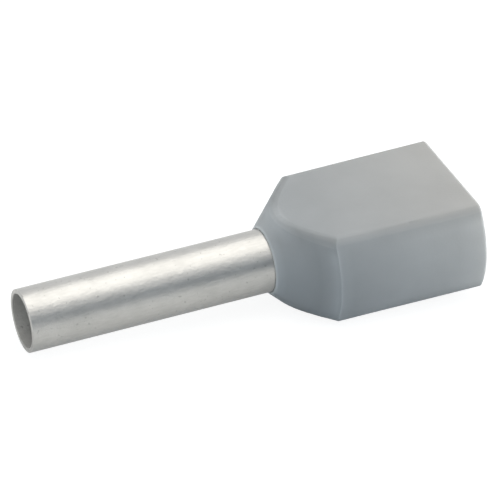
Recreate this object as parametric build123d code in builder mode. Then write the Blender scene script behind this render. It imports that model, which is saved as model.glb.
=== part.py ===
from build123d import *
import os
from math import cos, radians, sin, sqrt, tan

# Insulated wire ferrule for two fine-stranded wires in one terminal. All sizes are in millimetres.
# X runs along the sleeve's axis, from its tip towards the wire mouth, and Z is up.
# The origin is on the axis, at the collar's nose. The two flats of the collar face up and down.

# Sleeve: a length of thin drawn tube that takes the bared strands of both wires
bore_diameter = 1.8
tube_wall = 0.15
sleeve_reach = 8.35  # bare tube, from its tip to the collar's nose
flare_step = 0.13  # how far the bell mouth stands out beyond the tube
flare_bend_radius = 0.1
tip_round = 0.02
strand_clearance = 0.1

# Collar: a thin-walled moulding round the two insulated wires, which lie side by side
insulation = 0.58  # wall of one wire's insulation
wire_clearance = 0.15
collar_wall = 0.3
collar_length = 6.75
funnel_angle = 44  # between the axis and the funnel's wall, in degrees
side_draft = 0.5  # release angle of the rounded sides, in degrees
nose_land = 0.06  # width of the ring round the sleeve in which the funnel ends
edge_round = 0.4
cavity_round = 0.1
rim_round = 0.06
grip_clearance = 0.01  # between the tube and the collar that holds it

# The funnel's angle as ratios: rise per length, radial size of a wall, and shift of a corner
slope = tan(radians(funnel_angle))
lean = 1 / cos(radians(funnel_angle))
corner_shift = tan(radians(funnel_angle / 2))
draft = tan(radians(side_draft))

# The strands of two wires fill the bore as one bundle, and their insulation fills the collar
bore_radius = bore_diameter / 2
conductor_diameter = 2 * (bore_radius - strand_clearance) / sqrt(2)
wire_diameter = conductor_diameter + 2 * insulation
tube_radius = bore_radius + tube_wall
flare_radius = tube_radius + flare_step
grip_radius = tube_radius + grip_clearance
nose_radius = grip_radius + nose_land
cavity_mouth_radius = wire_diameter + wire_clearance
cavity_half_height = wire_diameter / 2 + wire_clearance
body_mouth_radius = cavity_mouth_radius + collar_wall
body_half_height = cavity_half_height + collar_wall
overcut = collar_wall  # a cut runs this far past the face that it opens
slab_length = 2 * (collar_length + body_mouth_radius)

# Places along the axis. The tube leans outwards from seat_x, and lies against the funnel from there
seat_x = ((collar_wall + grip_clearance) * lean - nose_land - grip_clearance) / slope
seat_corner_x = seat_x - grip_clearance * corner_shift
bore_corner_x = seat_x + tube_wall * corner_shift
flare_end_x = seat_x + flare_step / slope
flare_inner_x = flare_end_x + tube_wall * sin(radians(funnel_angle))
flare_inner_radius = flare_radius - tube_wall * cos(radians(funnel_angle))

# Where the funnel meets the drafted sides, outside and inside
body_start_radius = body_mouth_radius - draft * collar_length
body_corner_x = (body_start_radius - nose_radius) / (slope - draft)
body_corner_radius = nose_radius + slope * body_corner_x
cavity_start_radius = cavity_mouth_radius - draft * collar_length
funnel_start_radius = nose_radius - collar_wall * lean
cavity_corner_x = (cavity_start_radius - funnel_start_radius) / (slope - draft)
cavity_corner_radius = funnel_start_radius + slope * cavity_corner_x

# The tube's wall is drawn as one strip with its bent end, and turned about the axis
with BuildPart() as sleeve:
    with BuildSketch(Plane.XZ):
        with BuildLine():
            FilletPolyline(
                (-sleeve_reach, bore_radius),
                (bore_corner_x, bore_radius),
                (flare_inner_x, flare_inner_radius),
                (flare_end_x, flare_radius),
                (seat_x, tube_radius),
                (-sleeve_reach, tube_radius),
                close=True,
                radius=[0, flare_bend_radius + tube_wall, 0, 0, flare_bend_radius, 0],
            )
        make_face()
    revolve(axis=Axis.X)
    tip_face = sleeve.faces().sort_by(Axis.X)[0]
    fillet(tip_face.edges(), tip_round)
sleeve.part.label = "sleeve"

# The mould's core: the hole that grips the tube, the funnel that seats its bell mouth, and the
# room for the wires, flattened above and below like the outside
with BuildPart() as core:
    with BuildSketch(Plane.XZ):
        with BuildLine():
            FilletPolyline(
                (-overcut, 0),
                (-overcut, grip_radius),
                (seat_corner_x, grip_radius),
                (cavity_corner_x, cavity_corner_radius),
                (collar_length + overcut, cavity_mouth_radius + draft * overcut),
                (collar_length + overcut, 0),
                close=True,
                radius=[0, 0, flare_bend_radius - grip_clearance, cavity_round, 0, 0],
            )
        make_face()
    revolve(axis=Axis.X)
    with BuildSketch(Plane.XZ):
        Rectangle(slab_length, 2 * cavity_half_height)
    extrude(amount=slab_length, both=True, mode=Mode.INTERSECT)
    flat_edges = core.faces().filter_by(Axis.Z).edges()
    fillet(flat_edges.filter_by_position(Axis.X, 0, collar_length), cavity_round)

# The moulding: a funnel and a drafted round body, which meet in a crisp ridge, are flattened,
# rounded along the flats and hollowed by the core
with BuildPart() as collar:
    with BuildSketch(Plane.XZ):
        with BuildLine():
            Polyline(
                (0, 0),
                (0, nose_radius),
                (body_corner_x, body_corner_radius),
                (collar_length, body_mouth_radius),
                (collar_length, 0),
                close=True,
            )
        make_face()
    revolve(axis=Axis.X)
    with BuildSketch(Plane.XZ):
        Rectangle(slab_length, 2 * body_half_height)
    extrude(amount=slab_length, both=True, mode=Mode.INTERSECT)
    flat_edges = collar.faces().filter_by(Axis.Z).edges()
    fillet(flat_edges.filter_by_position(Axis.X, 0, collar_length - rim_round), edge_round)
    mouth_face = collar.faces().sort_by(Axis.X)[-1]
    fillet(mouth_face.edges(), rim_round)
    add(core.part, mode=Mode.SUBTRACT)
    mouth_face = collar.faces().sort_by(Axis.X)[-1]
    fillet(mouth_face.inner_wires().edges(), rim_round)
collar.part.label = "collar"

os.makedirs("parts", exist_ok=True)
export_step(sleeve.part, "parts/sleeve.step")
export_step(collar.part, "parts/collar.step")
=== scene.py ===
import bmesh
import bpy
from math import cos, pi, radians, sin, tan
from mathutils import Matrix, Vector


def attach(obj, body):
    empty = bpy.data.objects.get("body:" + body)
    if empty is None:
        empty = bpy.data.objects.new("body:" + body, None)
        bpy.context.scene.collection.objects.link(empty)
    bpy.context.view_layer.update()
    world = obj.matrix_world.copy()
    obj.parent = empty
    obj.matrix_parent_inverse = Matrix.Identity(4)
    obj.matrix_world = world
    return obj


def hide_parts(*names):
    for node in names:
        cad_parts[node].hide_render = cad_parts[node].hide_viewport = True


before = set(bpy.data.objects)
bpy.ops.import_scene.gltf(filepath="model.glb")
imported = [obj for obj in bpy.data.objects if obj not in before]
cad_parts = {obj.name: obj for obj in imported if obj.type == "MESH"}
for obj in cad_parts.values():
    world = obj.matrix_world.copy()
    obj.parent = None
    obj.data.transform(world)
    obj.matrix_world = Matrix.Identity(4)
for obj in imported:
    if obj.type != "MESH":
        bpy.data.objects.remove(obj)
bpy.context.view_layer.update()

# Sleeve: a length of seamless copper tube, tin plated inside and out. It is drawn to size and cut
# off, and its hidden end is flared, which seats it in the collar so that it can't pull through.
mm = 0.001


def linear(colour):
    """An sRGB colour, written as hex digits, as the linear numbers that a shader takes."""
    shares = [int(colour[i:i + 2], 16) / 255 for i in (0, 2, 4)]
    return [s / 12.92 if s <= 0.04045 else ((s + 0.055) / 1.055) ** 2.4 for s in shares] + [1.0]


def empty_tree(owner):
    """The node tree of a material or of the surround, cleared for nodes of its own."""
    owner.use_nodes = True
    owner.node_tree.nodes.clear()
    return owner.node_tree


def add_node(tree, kind, inputs, **settings):
    """A new node with its settings, and with its inputs set to values or linked to other nodes."""
    made = tree.nodes.new(kind)
    for name, value in settings.items():
        setattr(made, name, value)
    for name, value in inputs.items():
        if isinstance(value, bpy.types.NodeSocket):
            tree.links.new(value, made.inputs[name])
        else:
            made.inputs[name].default_value = value
    return made


def add_object(name, data):
    """A new object in the scene, for a mesh, a lamp or the camera."""
    made = bpy.data.objects.new(name, data)
    bpy.context.scene.collection.objects.link(made)
    return made


# Tin plating on drawn copper is satin, so the soft box above shows as one bright band along the
# tube. The drawing leaves fine marks along it, the plating's grain roughens the band's edges and
# a few faint pits show. The bore is duller than the outside.
tin_light = linear("BBBBB9")
tin_dark = linear("B1B1AF")
tin_pit = linear("A2A2A0")
draw_mark_spacing = 0.08 * mm  # the real marks lie closer, too close to show
draw_mark_length = 0.32 * mm
draw_mark_depth = 0.0035 * mm
grain_size = 0.09 * mm  # the real grain is finer, too fine to show
grain_depth = 0.01 * mm
cloud_size = 0.9 * mm
pit_size = 0.1 * mm
tin_span = 0.38, 0.62  # of the noise, from dark tin to light
pit_span = 0.76, 0.84  # of the noise, whose rare peaks alone become pits
grain_span = 0.3, 0.7  # of the noise, from smoother tin to rougher
satin_roughness = 0.3, 0.37
bore_roughness = 0.75
bore_finish_radius = 0.91 * mm  # the bore's dull finish fades out from here
outer_finish_radius = 0.97 * mm  # to here, in the middle of the cut end

tin_plate = bpy.data.materials.new("satin tin-plated copper")
tree = empty_tree(tin_plate)
place = add_node(tree, "ShaderNodeTexCoord", {})
along = add_node(tree, "ShaderNodeMapping", {
    "Vector": place.outputs["Object"],
    "Scale": (1 / draw_mark_length, 1 / draw_mark_spacing, 1 / draw_mark_spacing)})
draw_marks = add_node(tree, "ShaderNodeTexNoise", {
    "Vector": along.outputs["Vector"], "Scale": 1.0, "Detail": 2.0, "Roughness": 0.6})
grain = add_node(tree, "ShaderNodeTexNoise", {
    "Vector": place.outputs["Object"], "Scale": 1 / grain_size, "Detail": 3.0, "Roughness": 0.65})
clouds = add_node(tree, "ShaderNodeTexNoise", {
    "Vector": place.outputs["Object"], "Scale": 1 / cloud_size, "Detail": 2.0, "Roughness": 0.5})
patches = add_node(tree, "ShaderNodeMix", {
    "Factor": 0.5, "A": draw_marks.outputs["Fac"], "B": clouds.outputs["Fac"]})
tin_colour = add_node(tree, "ShaderNodeValToRGB", {"Fac": patches.outputs["Result"]})
for element, position, colour in zip(
        tin_colour.color_ramp.elements, tin_span, (tin_dark, tin_light)):
    element.position = position
    element.color = colour
pit_noise = add_node(tree, "ShaderNodeTexNoise", {
    "Vector": place.outputs["Object"], "Scale": 1 / pit_size, "Detail": 0.0})
pits = add_node(tree, "ShaderNodeMapRange", {
    "Value": pit_noise.outputs["Fac"], "From Min": pit_span[0], "From Max": pit_span[1]})
pitted = add_node(tree, "ShaderNodeMixRGB", {
    "Fac": pits.outputs["Result"], "Color1": tin_colour.outputs["Color"], "Color2": tin_pit})
satin = add_node(tree, "ShaderNodeMapRange", {
    "Value": grain.outputs["Fac"], "From Min": grain_span[0], "From Max": grain_span[1],
    "To Min": satin_roughness[0], "To Max": satin_roughness[1]})
apart = add_node(tree, "ShaderNodeSeparateXYZ", {"Vector": place.outputs["Object"]})
from_axis = add_node(tree, "ShaderNodeCombineXYZ", {
    "Y": apart.outputs["Y"], "Z": apart.outputs["Z"]})
radius = add_node(tree, "ShaderNodeVectorMath", {
    0: from_axis.outputs["Vector"]}, operation="LENGTH")
inside = add_node(tree, "ShaderNodeMapRange", {
    "Value": radius.outputs["Value"], "From Min": bore_finish_radius,
    "From Max": outer_finish_radius, "To Min": bore_roughness, "To Max": 0.0})
finish = add_node(tree, "ShaderNodeMath", {
    0: satin.outputs["Result"], 1: inside.outputs["Result"]}, operation="MAXIMUM")
mark_relief = add_node(tree, "ShaderNodeBump", {
    "Height": draw_marks.outputs["Fac"], "Strength": 1.0, "Distance": draw_mark_depth})
grain_relief = add_node(tree, "ShaderNodeBump", {
    "Height": grain.outputs["Fac"], "Strength": 1.0, "Distance": grain_depth,
    "Normal": mark_relief.outputs["Normal"]})
tin_shader = add_node(tree, "ShaderNodeBsdfPrincipled", {
    "Base Color": pitted.outputs["Color"], "Metallic": 1.0,
    "Roughness": finish.outputs["Value"], "Normal": grain_relief.outputs["Normal"]})
add_node(tree, "ShaderNodeOutputMaterial", {"Surface": tin_shader.outputs["BSDF"]})

# The wall's outline on one side of the axis, as (place along the axis, radius, rounding of that
# corner), is turned about the axis in fine steps, so that the reflections run smoothly
tip_x = -8.35 * mm
bore_radius = 0.9 * mm
tube_wall = 0.15 * mm
tip_round = 0.02 * mm
flare_start_x = 0.3738 * mm  # from here the tube lies against the collar's funnel
flare_radius = 1.18 * mm
flare_angle = radians(44)
flare_bend_radius = 0.1 * mm
turning_steps = 180
rounding_steps = 6
crease_angle = radians(35)

tube_radius = bore_radius + tube_wall
flare_end_x = flare_start_x + (flare_radius - tube_radius) / tan(flare_angle)
half_bend = tan(flare_angle / 2)
outer_bend = flare_bend_radius * half_bend
inner_bend = (flare_bend_radius + tube_wall) * half_bend
outline = (
    (tip_x, bore_radius, tip_round),
    (flare_start_x + tube_wall * half_bend, bore_radius, inner_bend),
    (flare_end_x + tube_wall * sin(flare_angle), flare_radius - tube_wall * cos(flare_angle), 0),
    (flare_end_x, flare_radius, 0),
    (flare_start_x, tube_radius, outer_bend),
    (tip_x, tube_radius, tip_round),
)

tube = bmesh.new()
corners = [tube.verts.new((x, 0, r)) for x, r, _ in outline]
for first, second in zip(corners, corners[1:] + corners[:1]):
    tube.edges.new((first, second))
for corner, (_, _, rounding) in zip(corners, outline):
    if rounding:
        bmesh.ops.bevel(tube, geom=[corner], offset=rounding, segments=rounding_steps,
                        profile=0.5, affect="VERTICES", material=-1)
bmesh.ops.spin(tube, geom=tube.verts[:] + tube.edges[:], cent=(0, 0, 0), axis=(1, 0, 0),
               angle=2 * pi, steps=turning_steps, use_merge=True)
bmesh.ops.recalc_face_normals(tube, faces=tube.faces)
tube_mesh = bpy.data.meshes.new("sleeve_tube")
tube.to_mesh(tube_mesh)
tube.free()
tube_mesh.shade_smooth()
tube_mesh.set_sharp_from_angle(angle=crease_angle)
tube_mesh.materials.append(tin_plate)

sleeve_tube = add_object("sleeve_tube", tube_mesh)
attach(sleeve_tube, "root")
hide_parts("sleeve")

# Collar: one thin-walled moulding in grey polypropylene, with a funnel, two flats and an oblong
# mouth. It is pushed over the sleeve's tip until the funnel seats on the flare, and grips the tube.
collar_length = 6.75 * mm
collar_half_height = 1.6 * mm

# Polypropylene from a finely eroded mould has a matte skin, and it lets a little light in, so edges
# and thin places are softer and a little lighter than the faces. On top of that its grey is
# multiplied by
# shares of painted light and shade: painted light round the tube, at the ridge and at the mouth,
# and painted shade on the funnel and along the flats' edges.
plastic_grey = linear("C1C2C4")
# The mouth's warmer grey is a painted glow, as of light coming through the thin wall
mouth_painted_glow = linear("C6C2BF")
mouth_painted_glow_start = 1.0 * mm  # from here to the mouth, the painted warm glow grows slowly
mottle_size = 1.6 * mm
skin_grain = 0.08 * mm  # the real grain is half as coarse, too fine to show
skin_depth = 0.008 * mm
skin_strength = 0.4
skin_span = 0.3, 0.7  # of the noise, from smoother skin to rougher
skin_roughness = 0.5, 0.6
glow_depth = 0.3 * mm
plastic_ior = 1.49
flat_zone = 1.1 * mm, 1.5 * mm  # height over which the sides' painted light and shade gives way to the flats'

# Along the axis: (place in mm, share) for the sides, funnel and ridge included, and for the flats.
# All of it is painted light and shade: a painted glow on the nose round the tube, painted shade
# over the funnel, a painted highlight at the ridge with painted shade beside it, and on the sides
# and flats painted light that grows toward the mouth.
side_painted_shading_shares = (
    (0.0, 1.7), (0.06, 1.08), (0.27, 0.92), (0.7, 0.88), (1.12, 0.8), (1.37, 0.9), (1.54, 1.02),
    (1.73, 0.82), (2.1, 0.78), (4.05, 0.94), (5.8, 1.06), (6.75, 1.22))
flat_painted_shading_shares = ((0.0, 1.2), (0.4, 1.13), (0.8, 0.8), (1.35, 0.79), (6.75, 0.92))
# Up from the axis: (height in mm, share), a painted shade along the rounded edges of the flats
edge_painted_shade_shares = ((0.0, 1.0), (1.38, 1.0), (1.5, 0.95), (1.555, 0.9), (1.595, 1.0))
# Uneven tone: (value of the noise, share)
mottle_shares = ((0.35, 0.97), (0.65, 1.03))

polypropylene = bpy.data.materials.new("moulded grey polypropylene")
tree = empty_tree(polypropylene)
place = add_node(tree, "ShaderNodeTexCoord", {})
mottle = add_node(tree, "ShaderNodeTexNoise", {
    "Vector": place.outputs["Object"], "Scale": 1 / mottle_size, "Detail": 3.0, "Roughness": 0.5})
skin = add_node(tree, "ShaderNodeTexNoise", {
    "Vector": place.outputs["Object"], "Scale": 1 / skin_grain, "Detail": 2.0, "Roughness": 0.6})
apart = add_node(tree, "ShaderNodeSeparateXYZ", {"Vector": place.outputs["Object"]})
height = add_node(tree, "ShaderNodeMath", {0: apart.outputs["Z"]}, operation="ABSOLUTE")
far_along = add_node(tree, "ShaderNodeMapRange", {
    "Value": apart.outputs["X"], "From Min": 0.0, "From Max": collar_length})
far_up = add_node(tree, "ShaderNodeMapRange", {
    "Value": height.outputs["Value"], "From Min": 0.0, "From Max": collar_half_height})
near_mouth = add_node(tree, "ShaderNodeMapRange", {
    "Value": apart.outputs["X"], "From Min": mouth_painted_glow_start, "From Max": collar_length})
on_flat = add_node(tree, "ShaderNodeMapRange", {
    "Value": height.outputs["Value"], "From Min": flat_zone[0], "From Max": flat_zone[1]})
# One ramp of greys for each row of shares, with its places from 0 to full
ramps = []
for where, full, stops in (
    (far_along, collar_length / mm, side_painted_shading_shares),
    (far_along, collar_length / mm, flat_painted_shading_shares),
    (far_up, collar_half_height / mm, edge_painted_shade_shares),
    (mottle, 1.0, mottle_shares),
):
    ramp = add_node(tree, "ShaderNodeValToRGB", {"Fac": where.outputs[0]})
    elements = ramp.color_ramp.elements
    positions = [stop / full for stop, _ in stops]
    elements[0].position, elements[1].position = positions[0], positions[-1]
    for position in positions[1:-1]:
        elements.new(position)
    for element, (_, share) in zip(elements, stops):
        element.color = (share, share, share, 1.0)
    ramps.append(ramp.outputs["Color"])
side_painted_shading_share, flat_painted_shading_share, edge_painted_shade_share, mottle_share = ramps
# Painted light and shade along the axis: the sides' shares give way to the flats' shares on the
# flats
face_painted_shading_share = add_node(tree, "ShaderNodeMixRGB", {
    "Fac": on_flat.outputs["Result"], "Color1": side_painted_shading_share, "Color2": flat_painted_shading_share})
# Toward the mouth the grey takes on the painted warm glow
grey = add_node(tree, "ShaderNodeMixRGB", {
    "Fac": near_mouth.outputs["Result"], "Color1": plastic_grey, "Color2": mouth_painted_glow})
# The grey is multiplied by that painted light and shade, by the edges' painted shade and by the
# mottle's uneven tone
for share in (face_painted_shading_share.outputs["Color"], edge_painted_shade_share, mottle_share):
    grey = add_node(tree, "ShaderNodeMixRGB", {
        "Fac": 1.0, "Color1": grey.outputs["Color"], "Color2": share}, blend_type="MULTIPLY")
matte = add_node(tree, "ShaderNodeMapRange", {
    "Value": skin.outputs["Fac"], "From Min": skin_span[0], "From Max": skin_span[1],
    "To Min": skin_roughness[0], "To Max": skin_roughness[1]})
skin_relief = add_node(tree, "ShaderNodeBump", {
    "Height": skin.outputs["Fac"], "Strength": skin_strength, "Distance": skin_depth})
plastic_shader = add_node(tree, "ShaderNodeBsdfPrincipled", {
    "Base Color": grey.outputs["Color"], "Roughness": matte.outputs["Result"],
    "IOR": plastic_ior, "Subsurface Weight": 1.0, "Subsurface Radius": (1.0, 1.0, 1.0),
    "Subsurface Scale": glow_depth, "Normal": skin_relief.outputs["Normal"]})
add_node(tree, "ShaderNodeOutputMaterial", {"Surface": plastic_shader.outputs["BSDF"]})

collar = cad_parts["collar"]
collar.material_slots[0].material = polypropylene

# Floor: white paper under the ferrule, which rests on the lower edge of its tip and on the front
# edge of its lower flat, so the paper leans a little against the ferrule's own frame.
tip_contact = Vector((tip_x, 0, -tube_radius))
flat_contact = Vector((0.654, 0, -1.596)) * mm
floor_half = 600 * mm

along_floor = (flat_contact - tip_contact).normalized()
across_floor = Vector((0, 1, 0))
middle = (flat_contact + tip_contact) / 2
sheet = bmesh.new()
sheet.faces.new([
    sheet.verts.new(middle + floor_half * (a * along_floor + c * across_floor))
    for a, c in ((-1, -1), (1, -1), (1, 1), (-1, 1))])
paper_mesh = bpy.data.meshes.new("paper")
sheet.to_mesh(paper_mesh)
sheet.free()
floor = add_object("floor", paper_mesh)

# Matt white paper: to the camera it glows just short of white, and a weak grey on top of that takes
# the soft shadow. In the metal it shows as lit white paper, and it throws a cooler light back up.
paper_white = linear("F6F1EE")
paper_pale = linear("BCC2C8")
paper_grey = linear("8C8C8C")
paper_glow = 0.89
mirrored_glow = 0.25

paper = bpy.data.materials.new("white paper")
tree = empty_tree(paper)
ray = add_node(tree, "ShaderNodeLightPath", {})
mirrored = add_node(tree, "ShaderNodeMath", {
    0: ray.outputs["Is Glossy Ray"], 1: ray.outputs["Is Transmission Ray"]}, operation="MAXIMUM")
mirrored_part = add_node(tree, "ShaderNodeMath", {
    0: mirrored.outputs["Value"], 1: mirrored_glow}, operation="MULTIPLY")
glow = add_node(tree, "ShaderNodeMath", {
    0: ray.outputs["Is Camera Ray"], 1: paper_glow, 2: mirrored_part.outputs["Value"]},
    operation="MULTIPLY_ADD")
lit_colour = add_node(tree, "ShaderNodeMixRGB", {
    "Fac": mirrored.outputs["Value"], "Color1": paper_pale, "Color2": paper_white})
paper_colour = add_node(tree, "ShaderNodeMixRGB", {
    "Fac": ray.outputs["Is Camera Ray"], "Color1": lit_colour.outputs["Color"],
    "Color2": paper_grey})
paper_diffuse = add_node(tree, "ShaderNodeBsdfDiffuse", {"Color": paper_colour.outputs["Color"]})
paper_light = add_node(tree, "ShaderNodeEmission", {"Strength": glow.outputs["Value"]})
paper_sum = add_node(tree, "ShaderNodeAddShader", {
    0: paper_diffuse.outputs["BSDF"], 1: paper_light.outputs["Emission"]})
add_node(tree, "ShaderNodeOutputMaterial", {"Surface": paper_sum.outputs["Shader"]})
paper_mesh.materials.append(paper)

# Light: a broad soft box overhead, smaller ones at the front right, left and right, and an even
# surround, which shows as white and lights as a cool grey. A grey card at the front gives the tube
# its darker band.
surround_level = 0.36
surround_tint = (0.78, 0.92, 1.0, 1.0)

world = bpy.data.worlds.new("surround")
bpy.context.scene.world = world
tree = empty_tree(world)
ray = add_node(tree, "ShaderNodeLightPath", {})
seen = add_node(tree, "ShaderNodeMath", {
    0: ray.outputs["Is Camera Ray"], 1: ray.outputs["Is Glossy Ray"]}, operation="MAXIMUM")
seen_or_through = add_node(tree, "ShaderNodeMath", {
    0: seen.outputs["Value"], 1: ray.outputs["Is Transmission Ray"]}, operation="MAXIMUM")
white = add_node(tree, "ShaderNodeBackground", {"Color": (1, 1, 1, 1), "Strength": 1.0})
ambient = add_node(tree, "ShaderNodeBackground", {
    "Color": surround_tint, "Strength": surround_level})
surround = add_node(tree, "ShaderNodeMixShader", {
    0: seen_or_through.outputs["Value"], 1: ambient.outputs["Background"],
    2: white.outputs["Background"]})
add_node(tree, "ShaderNodeOutputWorld", {"Surface": surround.outputs["Shader"]})

# Each lamp faces the ferrule, and its power follows from the radiance that its front shows
for name, radiance, tint, width, height, place_mm in (
    ("overhead soft box", 1.27, (1.0, 0.955, 0.88), 255 * mm, 420 * mm, (60, 38, 254)),
    ("front right fill", 2.0, (0.795, 0.935, 1.0), 200 * mm, 180 * mm, (230, -193, 95)),
    ("left fill", 0.5, (0.72, 0.92, 1.0), 200 * mm, 160 * mm, (-220, -190, 85)),
    ("right soft box", 2.0, (0.96, 0.985, 1.0), 400 * mm, 150 * mm, (270, -10, 75)),
):
    lamp = bpy.data.lights.new(name, "AREA")
    lamp.shape = "RECTANGLE"
    lamp.size, lamp.size_y = width, height
    lamp.color = tint
    lamp.energy = radiance * pi * width * height
    held = add_object(name, lamp)
    held.location = Vector(place_mm) * mm
    held.rotation_euler = held.location.to_track_quat("Z", "Y").to_euler()
    held.visible_camera = False

# The card faces the tube from beside the camera. Seen from the tube, it reaches from the lower
# angle to the higher one.
card_grey = linear("8A949E")
card_distance = 150 * mm
card_low, card_high = radians(4), radians(42)
card_left, card_right = -2 * mm, 110 * mm

board = bmesh.new()
board.faces.new([
    board.verts.new((x, -card_distance * cos(a), card_distance * sin(a)))
    for x, a in ((card_left, card_low), (card_right, card_low),
                 (card_right, card_high), (card_left, card_high))])
card_mesh = bpy.data.meshes.new("dark_card")
board.to_mesh(card_mesh)
board.free()
card = add_object("dark_card", card_mesh)
card.visible_camera = False

card_board = bpy.data.materials.new("matt grey card")
card_board.use_nodes = True
card_board.node_tree.nodes["Principled BSDF"].inputs["Base Color"].default_value = card_grey
card_mesh.materials.append(card_board)

# Camera: a long lens at the front left, above the sleeve's tip, tilted a little. The lens is worked
# out from the scale at the ferrule, for a picture 500 pixels wide.
turn, rise, lean = radians(21.33), radians(33.15), radians(-2.02)
distance = 155.3 * mm
pixels_per_metre = 30.782 / mm
image_width = 500
aim_right, aim_up = -0.428 * mm, 0.340 * mm  # from the origin to the middle of the picture
clip_near, clip_far = 1 * mm, 5000 * mm

back = Vector((-sin(turn) * cos(rise), -cos(turn) * cos(rise), sin(rise)))
level = Vector((cos(turn), -sin(turn), 0))
upright = back.cross(level)
right = cos(lean) * level + sin(lean) * upright
up = cos(lean) * upright - sin(lean) * level
spot = aim_right * right + aim_up * up + distance * back

camera_data = bpy.data.cameras.new("camera")
camera_data.lens = pixels_per_metre * distance * camera_data.sensor_width / image_width
camera_data.clip_start, camera_data.clip_end = clip_near, clip_far
camera = add_object("camera", camera_data)
camera.matrix_world = Matrix.Translation(spot) @ Matrix((right, up, back)).transposed().to_4x4()
bpy.context.scene.camera = camera
bpy.context.scene.view_settings.view_transform = "Standard"
